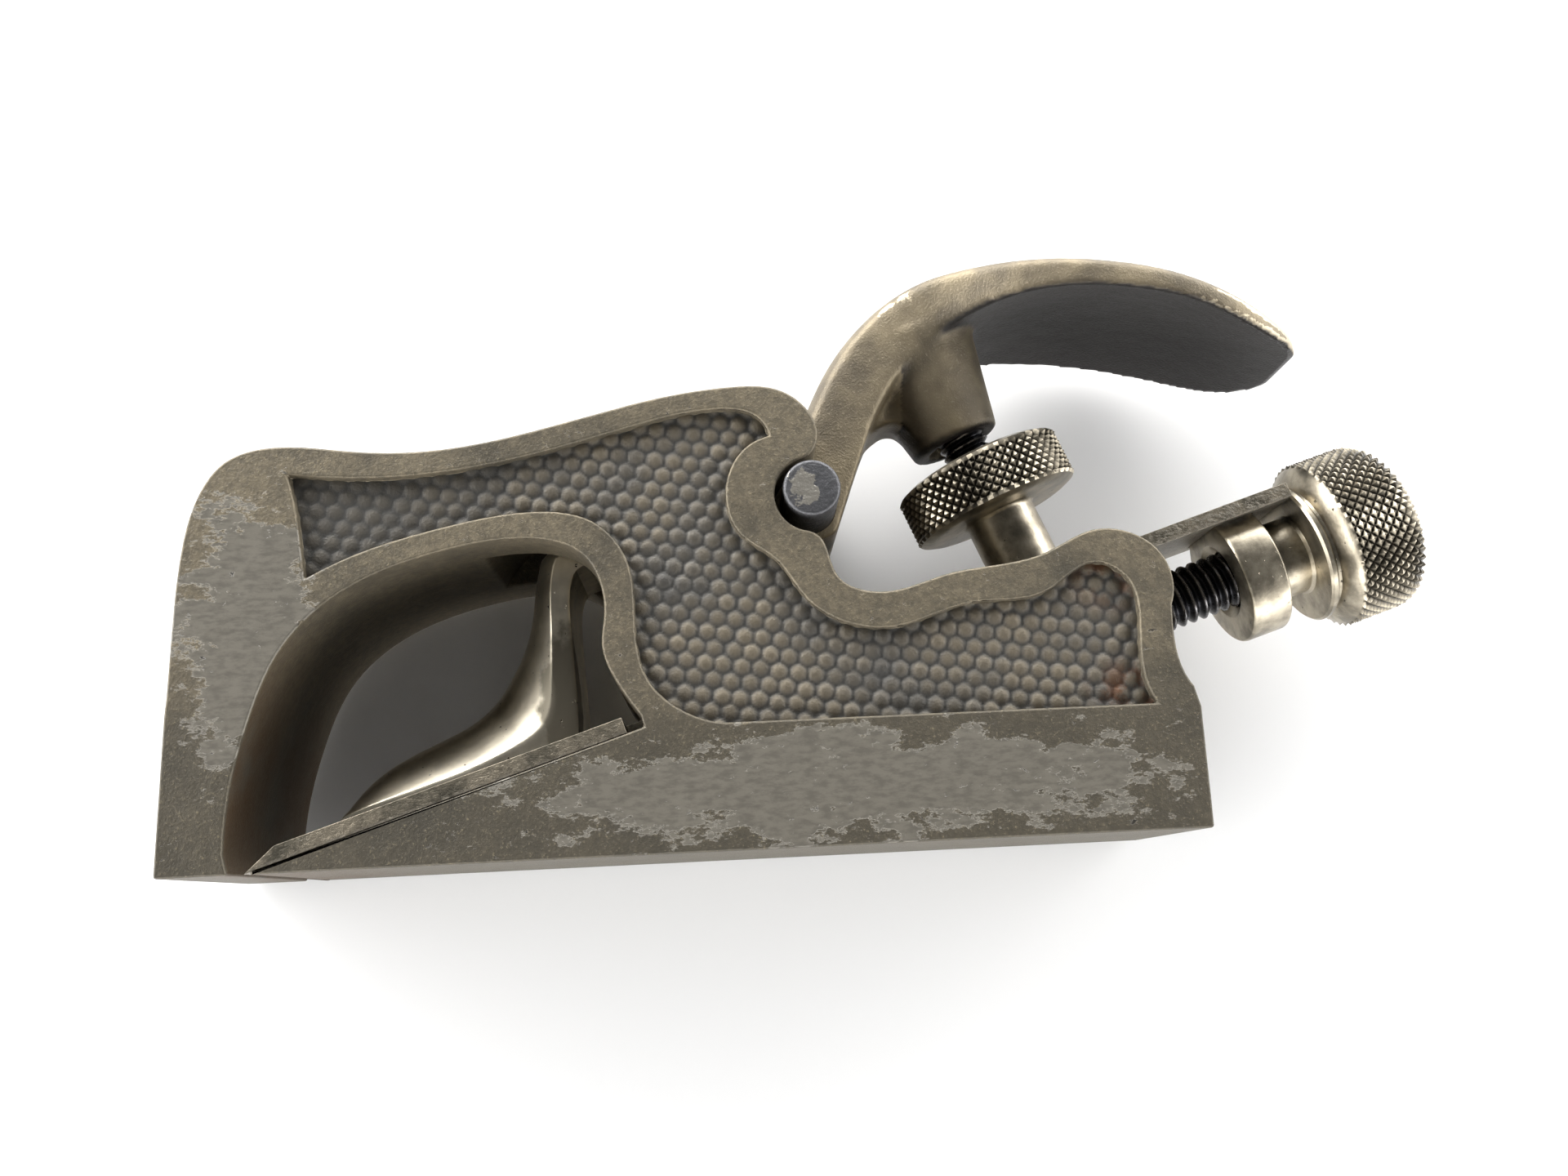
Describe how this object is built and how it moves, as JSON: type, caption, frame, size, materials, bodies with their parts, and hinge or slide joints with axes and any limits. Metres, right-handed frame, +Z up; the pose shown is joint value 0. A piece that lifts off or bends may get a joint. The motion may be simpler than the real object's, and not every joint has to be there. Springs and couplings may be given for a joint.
{
  "type": "hand plane",
  "caption": "Small cast bull-nose rebate plane with open sides, low bedded cutter, pivoting lever cap with palm rest, knurled clamp screw and knurled depth adjuster.",
  "frame": {"origin": "middle of the flat sole, midway between its toe and its heel", "axes": "+X along the sole from the toe to the heel and the adjuster, +Y across the body, +Z up from the sole"},
  "size_m": [0.1312, 0.0294, 0.0625],
  "materials": {
    "body_iron": "worn dull plating over cast iron, finely grained, with brighter bare patches and rust stains",
    "lever_iron": "worn plating over cast iron, bright where it is handled",
    "tool_steel": "ground tool steel with rough edges",
    "pin_steel": "dark steel, worn bright on its end",
    "oiled_steel": "black oiled screw thread",
    "pale_plating": "dull nickel plating with diamond knurling"
  },
  "bodies": {
    "plane_body": {"body_casting": "body_iron", "adjuster_stud": "oiled_steel"},
    "cutter": {"cutter_blade": "tool_steel"},
    "adjuster": {"adjuster_nut": "pale_plating"},
    "lever": {"lever_cap": "lever_iron", "lever_pin": "pin_steel"},
    "clamp_spindle": {"clamp_stud": "oiled_steel"},
    "clamp_head": {"clamp_wheel": "pale_plating"}
  },
  "joints": [
    {"name": "blade_feed", "type": "slide", "parent": "plane_body", "child": "cutter", "axis": [-0.9516, 0, -0.3074], "range_m": [-0.0011, 0.0015]},
    {"name": "adjuster_spin", "type": "hinge", "parent": "cutter", "child": "adjuster", "pos_m": [0.05893, 0, 0.02716], "axis": [-0.9516, 0, -0.3074], "range_deg": [-314.81, 428.2]},
    {"name": "lever_pivot", "type": "hinge", "parent": "plane_body", "child": "lever", "pos_m": [0.0134, 0, 0.0357], "axis": [0, 1, 0], "range_deg": [-0.02, 2.67]},
    {"name": "clamp_feed", "type": "slide", "parent": "lever", "child": "clamp_spindle", "axis": [-0.3746, 0, 0.9272], "range_m": [0, 0.00106]},
    {"name": "clamp_spin", "type": "hinge", "parent": "clamp_spindle", "child": "clamp_head", "pos_m": [0.0338, 0, 0.03865], "axis": [-0.3746, 0, 0.9272], "range_deg": [-3, 303]}
  ],
  "couplings": [
    {"joint": "adjuster_spin", "follows": "blade_feed", "rad_per_m": 4947.4},
    {"joint": "clamp_spin", "follows": "clamp_feed", "rad_per_m": 4947.4},
    {"joint": "lever_pivot", "follows": "clamp_feed", "rad_per_m": 43.458}
  ]
}
